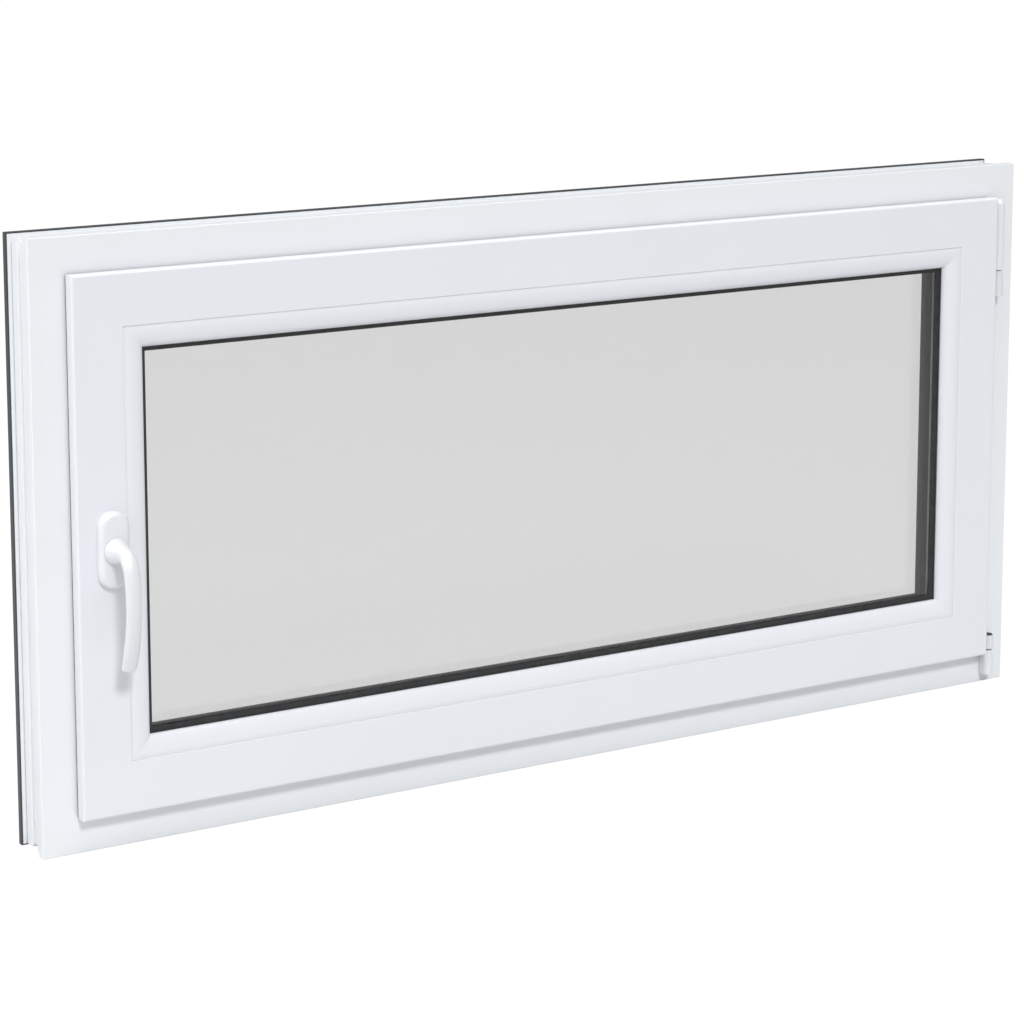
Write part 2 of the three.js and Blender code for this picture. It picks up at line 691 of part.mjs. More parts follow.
// Involute pinion round the origin, in the plane (x, y), one tooth pointing along -x.
function pinionShape() {
  const pressure = THREE.MathUtils.degToRad(20);
  const base = PITCH_RADIUS * Math.cos(pressure);
  const tip = PITCH_RADIUS + 0.9 * GEAR_MODULE;
  const root = PITCH_RADIUS - 1.25 * GEAR_MODULE;
  const involute = (angle) => Math.tan(angle) - angle;
  const halfTooth = (Math.PI * GEAR_MODULE) / 4 - 0.14;
  const halfAngle = (radius) =>
    halfTooth / PITCH_RADIUS + involute(pressure) - involute(Math.acos(Math.min(1, base / radius)));
  const radii = [root, base, (base + tip) / 2, tip];
  const points = [];
  for (let tooth = 0; tooth < GEAR_TEETH; tooth++) {
    const centre = Math.PI + (tooth * 2 * Math.PI) / GEAR_TEETH;
    const flank = radii.map((radius) => [radius, halfAngle(Math.max(radius, base))]);
    for (const [radius, half] of flank) points.push([radius, centre - half]);
    for (const [radius, half] of flank.reverse()) points.push([radius, centre + half]);
  }
  return new THREE.Shape(points.map(([r, a]) => new THREE.Vector2(r * Math.cos(a), r * Math.sin(a))));
}

// Rack teeth on the left rod, drawn in the plane (u, t), meshing with the pinion.
function rackShape() {
  const pitch = Math.PI * GEAR_MODULE;
  const pitchLine = HANDLE_U - PITCH_RADIUS;
  const slope = Math.tan(THREE.MathUtils.degToRad(20));
  const tipU = pitchLine + 0.88 * GEAR_MODULE;
  const halfAt = (u) => pitch / 4 - 0.14 - (u - pitchLine) * slope;
  const shape = new THREE.Shape();
  const first = HANDLE_Z - 2.5 * pitch;
  const teeth = 5 + Math.ceil(ROD_TRAVEL / pitch);
  const floor = ROD_BACK - 0.6;
  shape.moveTo(floor, first - pitch);
  for (let i = 0; i < teeth; i++) {
    const t = first + i * pitch;
    shape.lineTo(ROD_BACK, t - halfAt(ROD_BACK));
    shape.lineTo(tipU, t - halfAt(tipU));
    shape.lineTo(tipU, t + halfAt(tipU));
    shape.lineTo(ROD_BACK, t + halfAt(ROD_BACK));
  }
  shape.lineTo(floor, first + teeth * pitch);
  shape.closePath();
  return shape;
}

const GEAR_Y = [8.7, 15.3]; // face width of pinion and rack

function buildRods(rods) {
  const reaches = { left: [112, 506], top: [112, 880], bottom: [80, 430] };
  const rodY = [GROOVE_Y - ROD_HALF, GROOVE_Y + ROD_HALF];
  for (const [side, reach] of Object.entries(reaches)) {
    const strip = box([ROD_FRONT, ROD_BACK], rodY, reach);
    const pieces = [strip, ...locksOn(side).map(camOn)];
    if (side === "left") {
      const rack = prism(rackShape(), GEAR_Y[1] - GEAR_Y[0]);
      pieces.push(rack.rotateX(Math.PI / 2).translate(0, GEAR_Y[1], 0));
    }
    add(rods, `drive_rod_${side}`, onSide(side, join(...pieces)), FINISH.steel());
  }
}

// Flat gearbox set in the sash's left bar, open towards the drive rod.
function buildGearbox() {
  const u = [60, 84.4];
  const y = [6.2, 17.8];
  const body = box(u, y, [HANDLE_Z - 46, HANDLE_Z + 46]);
  const clearance = PITCH_RADIUS + GEAR_MODULE + 0.8;
  const hollow = [8.2, 15.8];
  const room = box([59, HANDLE_U + clearance], hollow, [HANDLE_Z - clearance, HANDLE_Z + clearance]);
  const channel = box([59, 62.8], hollow, [HANDLE_Z - 47, HANDLE_Z + 47]);
  const journal = cylinder("y", 6.2, [y[0] - 1, y[1] + 1], [HANDLE_U, HANDLE_Z]);
  const screws = [-1, 1].map((k) =>
    cylinder("y", 2.9, [y[0] - 1, 16], [HANDLE_U, HANDLE_Z + (k * SCREW_SPACING) / 2], 12),
  );
  add(sash, "gearbox", cut(body, room, channel, journal, ...screws), FINISH.steel());
}

// ---------------------------------------------------------------- handle

const ROSETTE_Y = [-27, SASH_FRONT_Y - 0.1]; // front of the rosette, back of the rosette

// Upright rounded plate of the given size, lying between two depths.
function uprightPlate(width, height, [y0, y1], rounding) {
  const shape = outline(
    [
      [-width / 2, -height / 2, rounding],
      [width / 2, -height / 2, rounding],
      [width / 2, height / 2, rounding],
      [-width / 2, height / 2, rounding],
    ],
  );
  const solid = new THREE.ExtrudeGeometry(shape, {
    depth: y1 - y0,
    bevelEnabled: false,
    curveSegments: 8,
  });
  return solid.rotateX(Math.PI / 2).translate(HANDLE_U, y1, HANDLE_Z);
}

function buildRosette() {
  const screwZ = [-1, 1].map((k) => HANDLE_Z + (k * SCREW_SPACING) / 2);
  const spindleHole = cylinder("y", 8.5, [-30, -16], [HANDLE_U, HANDLE_Z]);
  const base = cut(
    uprightPlate(27, 69, [-23.5, ROSETTE_Y[1]], 13),
    spindleHole,
    ...screwZ.map((z) => cylinder("y", 2.9, [-25, -16], [HANDLE_U, z], 12)),
  );
  add(sash, "rosette_base", base, FINISH.whitePvc());
  const cover = cut(
    uprightPlate(32, 75, ROSETTE_Y, 15.5),
    uprightPlate(28, 70, [ROSETTE_Y[0] + 1.6, ROSETTE_Y[1] + 1], 13.5),
    spindleHole,
  );
  add(sash, "rosette_cover", cover, FINISH.whiteCoat());
  screwZ.forEach((z, i) => {
    const screw = join(
      cylinder("y", 2.5, [-24, 14], [HANDLE_U, z], 20),
      cylinder("y", 4.2, [-25.2, -23.6], [HANDLE_U, z], 20),
    );
    add(sash, `handle_screw_${["lower", "upper"][i]}`, screw, FINISH.steel());
  });
}

function buildHandle(handle) {
  // Centre line from the rosette out into the room and down, bowed away from the sash.
  const bow = new THREE.CatmullRomCurve3(
    [
      [-33, 0],
      [-44, -1],
      [-57, -11],
      [-63.5, -34],
      [-63, -64],
      [-56.5, -93],
      [-50, -111],
    ].map(([y, z]) => new THREE.Vector3(HANDLE_U, y, HANDLE_Z + z)),
  );
  const grip = new THREE.Shape();
  grip.absellipse(0, 0, 5, 6.6, 0, 2 * Math.PI);
  const lever = new THREE.ExtrudeGeometry(grip, {
    steps: 16,
    curveSegments: 6,
    bevelEnabled: false,
    extrudePath: bow,
  });
  const axis = [HANDLE_U, HANDLE_Z];
  const collar = new THREE.CylinderGeometry(12.6, 7.6, 18, 28).translate(axis[0], -36.3, axis[1]);
  const sleeve = cylinder("y", 8.1, [-28, -18], axis, 28);
  const socketHalf = SPINDLE_HALF + GAP;
  const socket = (y) =>
    box([axis[0] - socketHalf, axis[0] + socketHalf], y, [axis[1] - socketHalf, axis[1] + socketHalf]);
  add(handle, "handle_lever", cut(join(collar, sleeve, lever), socket([-44, -17])), FINISH.whiteCoat());

  const spindle = box(
    [axis[0] - SPINDLE_HALF, axis[0] + SPINDLE_HALF],
    [-43.5, 17],
    [axis[1] - SPINDLE_HALF, axis[1] + SPINDLE_HALF],
  );
  add(handle, "handle_spindle", spindle, FINISH.steel());

  const gear = prism(pinionShape(), GEAR_Y[1] - GEAR_Y[0]).rotateX(Math.PI / 2);
  gear.translate(axis[0], GEAR_Y[1], axis[1]);
  const hub = cylinder("y", 5.9, [6.5, 17.5], axis);
  add(handle, "drive_pinion", cut(join(gear, hub), socket([6, 18])), FINISH.steel());
}

// ---------------------------------------------------------------- assembly

const pivot = new THREE.Group();
const stay = new THREE.Group();
const handle = new THREE.Group();
const rods = new THREE.Group();

buildFrameBars();
buildFrameGasket();
buildDrainCaps();
buildKeeps();
buildLowerHinge(sash, pivot);
buildUpperHinge(stay);
buildSashBars();
buildGlazing();
buildOverlapGasket();
buildFaceplates();
buildCornerDrives();
buildGearbox();
buildRosette();
buildHandle(handle);
buildRods(rods);

window_.add(frame, pivot, stay, sash, handle, rods);
window_.position.set(-WIDTH / 2, -FLANGE / 2, 0);

export default window_;
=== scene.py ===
"""Tilt-and-turn casement window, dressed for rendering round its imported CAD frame."""
from math import cos, pi, radians, sin

import bmesh
import bpy
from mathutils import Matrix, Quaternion, Vector


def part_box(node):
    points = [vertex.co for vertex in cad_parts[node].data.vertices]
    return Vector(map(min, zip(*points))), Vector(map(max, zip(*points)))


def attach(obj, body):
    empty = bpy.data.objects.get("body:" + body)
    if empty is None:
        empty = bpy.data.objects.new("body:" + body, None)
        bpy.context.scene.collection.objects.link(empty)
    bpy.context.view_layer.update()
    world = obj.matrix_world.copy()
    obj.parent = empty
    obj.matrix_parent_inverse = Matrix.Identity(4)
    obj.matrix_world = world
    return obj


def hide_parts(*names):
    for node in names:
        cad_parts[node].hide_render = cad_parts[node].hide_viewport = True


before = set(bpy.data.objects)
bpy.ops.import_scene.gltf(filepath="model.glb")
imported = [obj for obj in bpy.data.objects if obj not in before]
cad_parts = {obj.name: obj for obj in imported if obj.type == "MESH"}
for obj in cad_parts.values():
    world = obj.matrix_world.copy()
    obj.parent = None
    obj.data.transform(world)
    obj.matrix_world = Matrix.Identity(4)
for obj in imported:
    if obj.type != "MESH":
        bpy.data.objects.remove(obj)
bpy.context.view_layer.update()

# ------------------------------------------------------------------ places, from the frame

MM = 0.001
SIDES = ("left", "right", "bottom", "top")
LEFT, ROOM_FACE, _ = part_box("frame_bar_left")[0]  # outer left edge and room face
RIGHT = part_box("frame_bar_right")[1].x
FLOOR_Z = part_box("frame_bar_bottom")[0].z
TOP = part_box("frame_bar_top")[1].z
SASH_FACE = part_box("sash_bar_left")[0].y  # room face of the sash
spindle_low, spindle_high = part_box("handle_spindle")
HANDLE = (spindle_low + spindle_high) / 2
MITRE_INSET = 0.2 * MM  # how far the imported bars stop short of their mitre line
JOINED = 0.01 * MM  # hairline left between two welded bars
CLIPPED = 0.03 * MM  # hairline left between two beads
INWARD = {
    "left": Vector((1, 0, 0)),
    "right": Vector((-1, 0, 0)),
    "bottom": Vector((0, 0, 1)),
    "top": Vector((0, 0, -1)),
}
BEAD_JOINT = 88 * MM  # joint of sash face and bead, in from the window's outer edge

# ------------------------------------------------------------------ materials


class Look:
    """A Principled material with its node tree at hand."""

    def __init__(self, name, color, roughness, metallic=0.0, **sockets):
        self.material = bpy.data.materials.new(name)
        self.material.use_nodes = True
        self.tree = self.material.node_tree
        self.shader = self.tree.nodes["Principled BSDF"]
        self.color = color
        self.roughness = roughness
        self.shader.inputs["Base Color"].default_value = (*color, 1)
        self.shader.inputs["Roughness"].default_value = roughness
        self.shader.inputs["Metallic"].default_value = metallic
        for socket, value in sockets.items():
            self.shader.inputs[socket.replace("_", " ")].default_value = value
        self.place = self.tree.nodes.new("ShaderNodeTexCoord").outputs["Object"]
        self.height = None

    def link(self, source, target):
        self.tree.links.new(source, target)

    def noise(self, scale, detail=3.0, stretch=(1, 1, 1)):
        """Noise in object space, "scale" features per metre, drawn out along any small axis."""
        mapping = self.tree.nodes.new("ShaderNodeMapping")
        mapping.inputs["Scale"].default_value = stretch
        self.link(self.place, mapping.inputs["Vector"])
        texture = self.tree.nodes.new("ShaderNodeTexNoise")
        texture.inputs["Scale"].default_value = scale
        texture.inputs["Detail"].default_value = detail
        self.link(mapping.outputs["Vector"], texture.inputs["Vector"])
        return texture.outputs["Fac"]

    def vary_color(self, scale, amount, detail=3.0, stretch=(1, 1, 1)):
        """Lets the colour drift lighter and darker by "amount"."""
        ramp = self.tree.nodes.new("ShaderNodeValToRGB")
        low, high = ramp.color_ramp.elements
        low.position, high.position = 0.3, 0.7
        low.color = (*(c * (1 - amount) for c in self.color), 1)
        high.color = (*(min(1.0, c * (1 + amount)) for c in self.color), 1)
        self.link(self.noise(scale, detail, stretch), ramp.inputs["Fac"])
        self.link(ramp.outputs["Color"], self.shader.inputs["Base Color"])
        return self

    def vary_roughness(self, scale, amount, detail=3.0, stretch=(1, 1, 1)):
        spread = self.tree.nodes.new("ShaderNodeMapRange")
        spread.inputs["From Min"].default_value = 0.3
        spread.inputs["From Max"].default_value = 0.7
        spread.inputs["To Min"].default_value = self.roughness - amount
        spread.inputs["To Max"].default_value = self.roughness + amount
        self.link(self.noise(scale, detail, stretch), spread.inputs["Value"])
        self.link(spread.outputs["Result"], self.shader.inputs["Roughness"])
        return self

    def bump(self, scale, depth, detail=2.0, stretch=(1, 1, 1)):
        """Adds relief "depth" metres deep, on top of any relief already there."""
        node = self.tree.nodes.new("ShaderNodeBump")
        node.inputs["Strength"].default_value = 1.0
        node.inputs["Distance"].default_value = depth
        self.link(self.noise(scale, detail, stretch), node.inputs["Height"])
        if self.height:
            self.link(self.height, node.inputs["Normal"])
        self.height = node.outputs["Normal"]
        self.link(self.height, self.shader.inputs["Normal"])
        return self


def extruded_pvc(name, color, along):
    """White window PVC: satin, a fine orange peel and faint die lines along the bar."""
    lines = tuple(0.004 if axis == along else 1 for axis in "xyz")
    look = Look(name, color, 0.3, Specular_IOR_Level=0.45, Coat_Weight=0.12, Coat_Roughness=0.2)
    look.vary_color(7, 0.008).vary_roughness(420, 0.02)
    return look.bump(1500, 0.000002).bump(900, 0.0000015, stretch=lines).material


def grained_foil(name, along):
    """Anthracite foil on the outdoor faces, with its embossed grain running along the bar."""
    lines = tuple(0.03 if axis == along else 1 for axis in "xyz")
    look = Look(name, (0.042, 0.046, 0.051), 0.46)
    look.vary_color(60, 0.12, stretch=lines).vary_roughness(500, 0.07)
    return look.bump(1100, 0.00006, detail=4, stretch=lines).material


def powder_coat(name, color, roughness=0.26):
    look = Look(name, color, roughness, Coat_Weight=0.2, Coat_Roughness=0.14)
    return look.vary_color(30, 0.008).vary_roughness(380, 0.03).bump(1300, 0.000005).material


def zinc_steel(name, along):
    lines = tuple(0.02 if axis == along else 1 for axis in "xyz")
    look = Look(name, (0.56, 0.57, 0.575), 0.34, metallic=1.0)
    look.vary_color(90, 0.10, detail=5).vary_roughness(700, 0.09, stretch=lines)
    return look.bump(1800, 0.00001, stretch=lines).material


def rubber(name, color, roughness):
    look = Look(name, color, roughness, Specular_IOR_Level=0.35)
    return look.vary_color(120, 0.2).vary_roughness(600, 0.08).bump(2400, 0.00002).material


def tinted_glass(name):
    """Float glass with a faint grey tint, wavy enough to show in reflections only."""
    look = Look(name, (0.805, 0.807, 0.807), 0.0, Transmission_Weight=1.0, IOR=1.52)
    return look.bump(3, 0.00001, detail=1).material


def upright_and_level(make, name, *args):
    """One finish for the upright sides and one for the level sides, by side."""
    upright = make(f"{name}_upright", *args, "z")
    level = make(f"{name}_level", *args, "x")
    return {"left": upright, "right": upright, "bottom": level, "top": level}


FRAME_PVC = upright_and_level(extruded_pvc, "frame_pvc", (0.83, 0.853, 0.877))
SASH_PVC = upright_and_level(extruded_pvc, "sash_pvc", (0.787, 0.81, 0.852))
FOIL = upright_and_level(grained_foil, "anthracite_foil")
COAT = powder_coat("white_coat", (0.75, 0.765, 0.79), 0.3)
CAP = powder_coat("white_cap", (0.785, 0.805, 0.84), 0.32)
STEEL = upright_and_level(zinc_steel, "zinc_steel")
RUBBER = rubber("black_rubber", (0.032, 0.033, 0.035), 0.55)
SEAL = rubber("black_seal", (0.016, 0.017, 0.018), 0.42)
PLASTIC = powder_coat("black_plastic", (0.03, 0.032, 0.035), 0.4)
SPACER = powder_coat("spacer_metal", (0.075, 0.078, 0.082), 0.42)
# painted highlight: lighter grey for the band of painted light on the dark spacer
SPACER_PAINTED_HIGHLIGHT = powder_coat("spacer_painted_highlight", (0.45, 0.46, 0.465), 0.4)
PACKER = powder_coat("packer_plastic", (0.05, 0.12, 0.25), 0.5)
GLASS = tinted_glass("clear_glass")

# ------------------------------------------------------------------ mesh helpers

ARRIS = radians(40)  # edges bent by more than this are rounded
SMOOTH = radians(38)  # edges bent by less than this are shaded smooth
NEAR = 0.02 * MM  # points this close to a line of the section lie on it


def piece_from(bm, name, *materials):
    """A new object, smooth over shallow angles, from a bmesh in the row frame."""
    bmesh.ops.recalc_face_normals(bm, faces=bm.faces)
    mesh = bpy.data.meshes.new(name)
    bm.to_mesh(mesh)
    bm.free()
    for material in materials:
        mesh.materials.append(material)
    mesh.shade_smooth()
    mesh.set_sharp_from_angle(angle=SMOOTH)
    piece = bpy.data.objects.new(name, mesh)
    bpy.context.scene.collection.objects.link(piece)
    return piece


def soften(piece, width, segments=2, weighted=False):
    """Rounds every arris by "width", or only the arrises with a bevel weight."""
    bevel = piece.modifiers.new("arris", "BEVEL")
    bevel.width = width
    bevel.segments = segments
    bevel.limit_method = "WEIGHT" if weighted else "ANGLE"
    bevel.angle_limit = ARRIS
    bevel.use_clamp_overlap = True
    bevel.harden_normals = False
    piece.modifiers.new("normals", "WEIGHTED_NORMAL").keep_sharp = True
    return piece


def settle(piece, body, slot_name, *nodes):
    """Puts a finished piece on its body and hides the CAD nodes it stands for; slot_name is not used.
    """
    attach(piece, body)
    if nodes:
        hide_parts(*nodes)
    return piece


def merged_copy(node):
    """The node's solid as a bmesh, its flat faces whole again instead of triangles."""
    same_point = 0.002 * MM
    same_plane = radians(0.6)
    bm = bmesh.new()
    bm.from_mesh(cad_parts[node].data)
    bmesh.ops.remove_doubles(bm, verts=bm.verts, dist=same_point)
    bmesh.ops.dissolve_limit(bm, angle_limit=same_plane, verts=bm.verts, edges=bm.edges)
    return bm


def slit(bm, geometry, place, normal):
    """Adds edges where a plane crosses the given geometry."""
    bmesh.ops.bisect_plane(bm, geom=geometry, dist=0.001 * MM, plane_co=place, plane_no=normal)


def refined(node, body, slot_name, material, width=0.25 * MM, segments=2):
    """A detailed stand-in of the same shape as the CAD node, every arris softened."""
    bm = merged_copy(node)
    piece = soften(piece_from(bm, f"{node}_fine", material), width, segments)
    return settle(piece, body, slot_name, node)


def dress(node, material):
    """Gives a CAD node that keeps its own shape its finished material."""
    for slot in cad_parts[node].material_slots:
        slot.material = material


def across_and_along(side, point):
    """Distance in from the window's outer edge, and distance along the bar."""
    x, z = point.x - LEFT, point.z - FLOOR_Z
    if side == "left":
        return x, z
    if side == "right":
        return RIGHT - point.x, z
    if side == "bottom":
        return z, x
    return TOP - point.z, x


def close_mitres(bm, side, gap):
    """Draws a bar's ends out to the mitre, leaving half the gap, and returns their vertices."""
    length = (TOP - FLOOR_Z) if side in ("left", "right") else (RIGHT - LEFT)
    step = MITRE_INSET - gap / 2
    direction = Vector((0, 0, 1)) if side in ("left", "right") else Vector((1, 0, 0))
    ends = set()
    for vertex in bm.verts:
        across, along = across_and_along(side, vertex.co)
        if abs(along - across - MITRE_INSET) < NEAR:
            vertex.co -= direction * step
            ends.add(vertex)
        elif abs(length - along - across - MITRE_INSET) < NEAR:
            vertex.co += direction * step
            ends.add(vertex)
    return ends


def weigh_arrises(bm, mitred):
    """Bevel weight 1 on every sharp edge, save round a mitred end, where the weld is flush."""
    weight = bm.edges.layers.float.new("bevel_weight_edge")
    for edge in bm.edges:
        in_weld = edge.verts[0] in mitred and edge.verts[1] in mitred
        if not in_weld and len(edge.link_faces) == 2 and edge.calc_face_angle(0) > ARRIS:
            edge[weight] = 1


def score(bm, side, across, depth):
    """Cuts the faces that lie at one depth lengthways, at a distance in from the outer edge."""
    edge = {"left": LEFT, "right": RIGHT, "bottom": FLOOR_Z, "top": TOP}[side]
    place = Vector((1, 0, 1)) * edge + INWARD[side] * across
    faces = [f for f in bm.faces if all(abs(v.co.y - depth) < NEAR / 2 for v in f.verts)]
    around = {*faces, *(e for f in faces for e in f.edges), *(v for f in faces for v in f.verts)}
    slit(bm, list(around), place, INWARD[side])


def profile_bar(node, side, white, gap, width, outdoors=None, foil_end=None):
    """A bar drawn out to its mitres. "outdoors" says which faces the foil covers, and
    "foil_end" where it stops on a room-side face: distance in, and depth."""
    bm = merged_copy(node)
    if foil_end:
        score(bm, side, foil_end[0], ROOM_FACE + foil_end[1])
    weigh_arrises(bm, close_mitres(bm, side, gap))
    if node.startswith("bead"):
        press_home(bm, side)
    if outdoors:
        for face in bm.faces:
            middle = face.calc_center_median()
            across, _ = across_and_along(side, middle)
            face.material_index = int(outdoors(across, middle.y - ROOM_FACE))
    piece = piece_from(bm, f"{node}_fine", white[side], FOIL[side])
    return soften(piece, width, weighted=True)


def press_home(bm, side):
    """Brings a bead's outer side up against the sash, leaving only a hairline joint."""
    clearance = 0.3 * MM
    hairline = 0.05 * MM
    for vertex in bm.verts:
        across, _ = across_and_along(side, vertex.co)
        if abs(across - BEAD_JOINT - clearance) < NEAR:
            vertex.co -= INWARD[side] * (clearance - hairline)


def bridged(bm, rings, closed=False):
    """Joins rings of equally many points into a skin, with its ends capped or led round."""
    loops = [[bm.verts.new(point) for point in ring] for ring in rings]
    pairs = list(zip(loops, loops[1:]))
    if closed:
        pairs.append((loops[-1], loops[0]))
    for near, far in pairs:
        for i in range(len(near)):
            j = (i + 1) % len(near)
            bm.faces.new((near[i], near[j], far[j], far[i]))
    if not closed:
        bm.faces.new(reversed(loops[0]))
        bm.faces.new(loops[-1])
    return bm


def lathed(profile, segments=32):
    """A closed body turned round the z axis from (radius, height) pairs in millimetres."""
    rings = []
    for radius, height in profile:
        turns = [2 * pi * i / segments for i in range(segments)]
        rings.append([Vector((radius * cos(t), radius * sin(t), height)) * MM for t in turns])
    return bridged(bmesh.new(), rings)


# ------------------------------------------------------------------ outer frame and sash bars

BAR_ARRIS = 0.12 * MM  # rounding of the bars' edges
BEAD_ARRIS = 0.1 * MM


def build_frame_bars():
    """White bars with the outdoor foil lapped round the flange."""
    flange = 50.5 * MM  # room side of the outdoor flange
    turned_in = 1.4 * MM  # the foil laps this far round its edge
    slack = 0.1 * MM  # a face this close to the flange's depth lies on it
    foil_end = (turned_in, flange)

    def outdoors(across, depth):
        on_lap = depth > flange - slack and across < turned_in
        return depth > flange + slack or on_lap

    for side in SIDES:
        node = f"frame_bar_{side}"
        bar = profile_bar(node, side, FRAME_PVC, JOINED, BAR_ARRIS, outdoors, foil_end)
        settle(bar, "frame", "white_pvc", node)


def build_sash_bars():
    """White bars with foil on their outdoor faces, and the beads clipped into them."""
    rear_foil = 42.3 * MM  # the foil starts at this depth on the sash's outer side
    lip_foil = 23.9 * MM  # and at this depth on the lip that faces the glass
    lip_inside = 95 * MM  # everything further in than this belongs to the lip

    def outdoors(across, depth):
        return depth > rear_foil or (across > lip_inside and depth > lip_foil)

    for side in SIDES:
        bar = profile_bar(f"sash_bar_{side}", side, SASH_PVC, JOINED, BAR_ARRIS, outdoors)
        settle(bar, "sash", "white_pvc", f"sash_bar_{side}")
        bead = profile_bar(f"bead_{side}", side, SASH_PVC, CLIPPED, BEAD_ARRIS)
        settle(bead, "sash", "white_pvc", f"bead_{side}")


def build_seals():
    refined("frame_gasket", "frame", "black_rubber", RUBBER, 0.3 * MM)
    refined("overlap_gasket", "sash", "black_rubber", RUBBER, 0.3 * MM)
    refined("glazing_gasket_inner", "sash", "black_rubber", RUBBER, 0.2 * MM)
    refined("glazing_gasket_outer", "sash", "black_rubber", RUBBER, 0.2 * MM)
    for end in ("left", "right"):
        refined(f"drain_cap_{end}", "frame", "black_plastic", PLASTIC, 0.3 * MM)


# ------------------------------------------------------------------ glazing


def build_glazing():
    for pane in ("pane_inner", "pane_outer"):
        dress(pane, GLASS)
    build_spacer()
    dress("edge_seal", SEAL)
    for end in ("left", "right"):
        dress(f"setting_block_{end}", PACKER)


def build_spacer():
    """Dark spacer with a painted highlight: a lighter band at mid-depth of the side that shows
    through the glass, painted where light catches it.
    """
    bm = merged_copy("spacer_frame")
    # painted highlight: the depths between which the spacer's side is coloured lighter, standing in
    # for light caught there
    highlight_band = (10.6 * MM, 13.6 * MM)  # from one depth behind the room face to the other
    for depth in highlight_band:
        everything = [*bm.verts, *bm.edges, *bm.faces]
        slit(bm, everything, Vector((0, ROOM_FACE + depth, 0)), Vector((0, 1, 0)))
    # faces inside the band get the painted highlight colour
    for face in bm.faces:
        depth = face.calc_center_median().y - ROOM_FACE
        face.material_index = int(highlight_band[0] < depth < highlight_band[1])
    piece = piece_from(bm, "spacer_frame_fine", SPACER, SPACER_PAINTED_HIGHLIGHT)
    settle(soften(piece, 0.2 * MM), "sash", "spacer_metal", "spacer_frame")


# ------------------------------------------------------------------ hardware


def build_hardware():
    for end in ("left_upper", "left_lower"):
        refined(f"keep_{end}", "frame", "zinc_steel", STEEL["left"])
    for end in ("bottom", "top"):
        refined(f"keep_{end}", "frame", "zinc_steel", STEEL["bottom"])
        refined(f"corner_drive_{end}", "sash", "zinc_steel", STEEL["left"], 0.2 * MM)
    for side in ("left", "top", "bottom"):
        refined(f"faceplate_{side}", "sash", "zinc_steel", STEEL[side], 0.2 * MM)
        refined(f"drive_rod_{side}", f"rod_{side}", "zinc_steel", STEEL[side], 0.15 * MM)
    refined("gearbox", "sash", "zinc_steel", STEEL["left"])
    for side in SIDES:
        dress(f"frame_core_{side}", STEEL[side])
        dress(f"sash_core_{side}", STEEL[side])
    for node in ("handle_spindle", "drive_pinion", "handle_screw_lower", "handle_screw_upper"):
        dress(node, STEEL["left"])


def screw_mesh():
    """Raised countersunk head with a cross recess, its rim at z = 0 and its crown towards +z."""
    outline = [(1.9, -1.2), (1.9, -0.6), (3.1, 0), (3.3, 0.12), (2.9, 0.36), (1.9, 0.62), (0.6, 0.72)]
    head = piece_from(lathed(outline), "screw_head")
    arm_length, arm_width = 3.6, 0.72  # of the cross
    cut_height, cut_middle = 1.6, 0.6  # of the boxes that cut it
    corners = 8  # of one box
    bm = bmesh.new()
    for wide, deep in ((arm_length, arm_width), (arm_width, arm_length)):
        bmesh.ops.create_cube(bm, size=1)
        for vertex in bm.verts[-corners:]:
            x, y, z = vertex.co
            vertex.co = Vector((x * wide, y * deep, z * cut_height + cut_middle)) * MM
    cutter = piece_from(bm, "cross_recess")
    recess = head.modifiers.new("recess", "BOOLEAN")
    recess.object = cutter
    recess.operation = "DIFFERENCE"
    recess.solver = "EXACT"
    recess.use_self = True
    shape = head.evaluated_get(bpy.context.evaluated_depsgraph_get())
    mesh = bpy.data.meshes.new_from_object(shape)
    mesh.materials.append(STEEL["left"])
    bpy.data.objects.remove(head)
    bpy.data.objects.remove(cutter)
    return mesh


def pair_of_screws(node, body, side, margin, depth, thickness=0.0):
    """Two screws, each "margin" from an end of a plate that lies along one side."""
    low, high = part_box(node)
    back = {"left": low.x, "right": high.x, "bottom": low.z, "top": high.z}[side]
    across = back + (INWARD[side].x + INWARD[side].z) * thickness
    if side in ("bottom", "top"):
        places = [Vector((x, depth, across)) for x in (low.x + margin, high.x - margin)]
    else:
        places = [Vector((across, depth, z)) for z in (low.z + margin, high.z - margin)]
    facing = INWARD[side] if body == "frame" else -INWARD[side]
    return [(f"{node}_screw_{end}", body, place, facing) for end, place in zip("ab", places)]


def keep_and_faceplate_screws():
    """Name, body, place and facing of the screws in the frame's keeps and the faceplates."""
    keep_margin, keep_depth, keep_thickness = 4 * MM, 11 * MM, 2 * MM
    faceplate_margin = 12 * MM
    keeps = {"left_upper": "left", "left_lower": "left", "top": "top", "bottom": "bottom"}
    screws = []
    for place, side in keeps.items():
        node = f"keep_{place}"
        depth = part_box(node)[0].y + keep_depth
        screws += pair_of_screws(node, "frame", side, keep_margin, depth, keep_thickness)
    for side in ("left", "top", "bottom"):
        node = f"faceplate_{side}"
        low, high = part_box(node)
        screws += pair_of_screws(node, "sash", side, faceplate_margin, (low.y + high.y) / 2)
    return screws


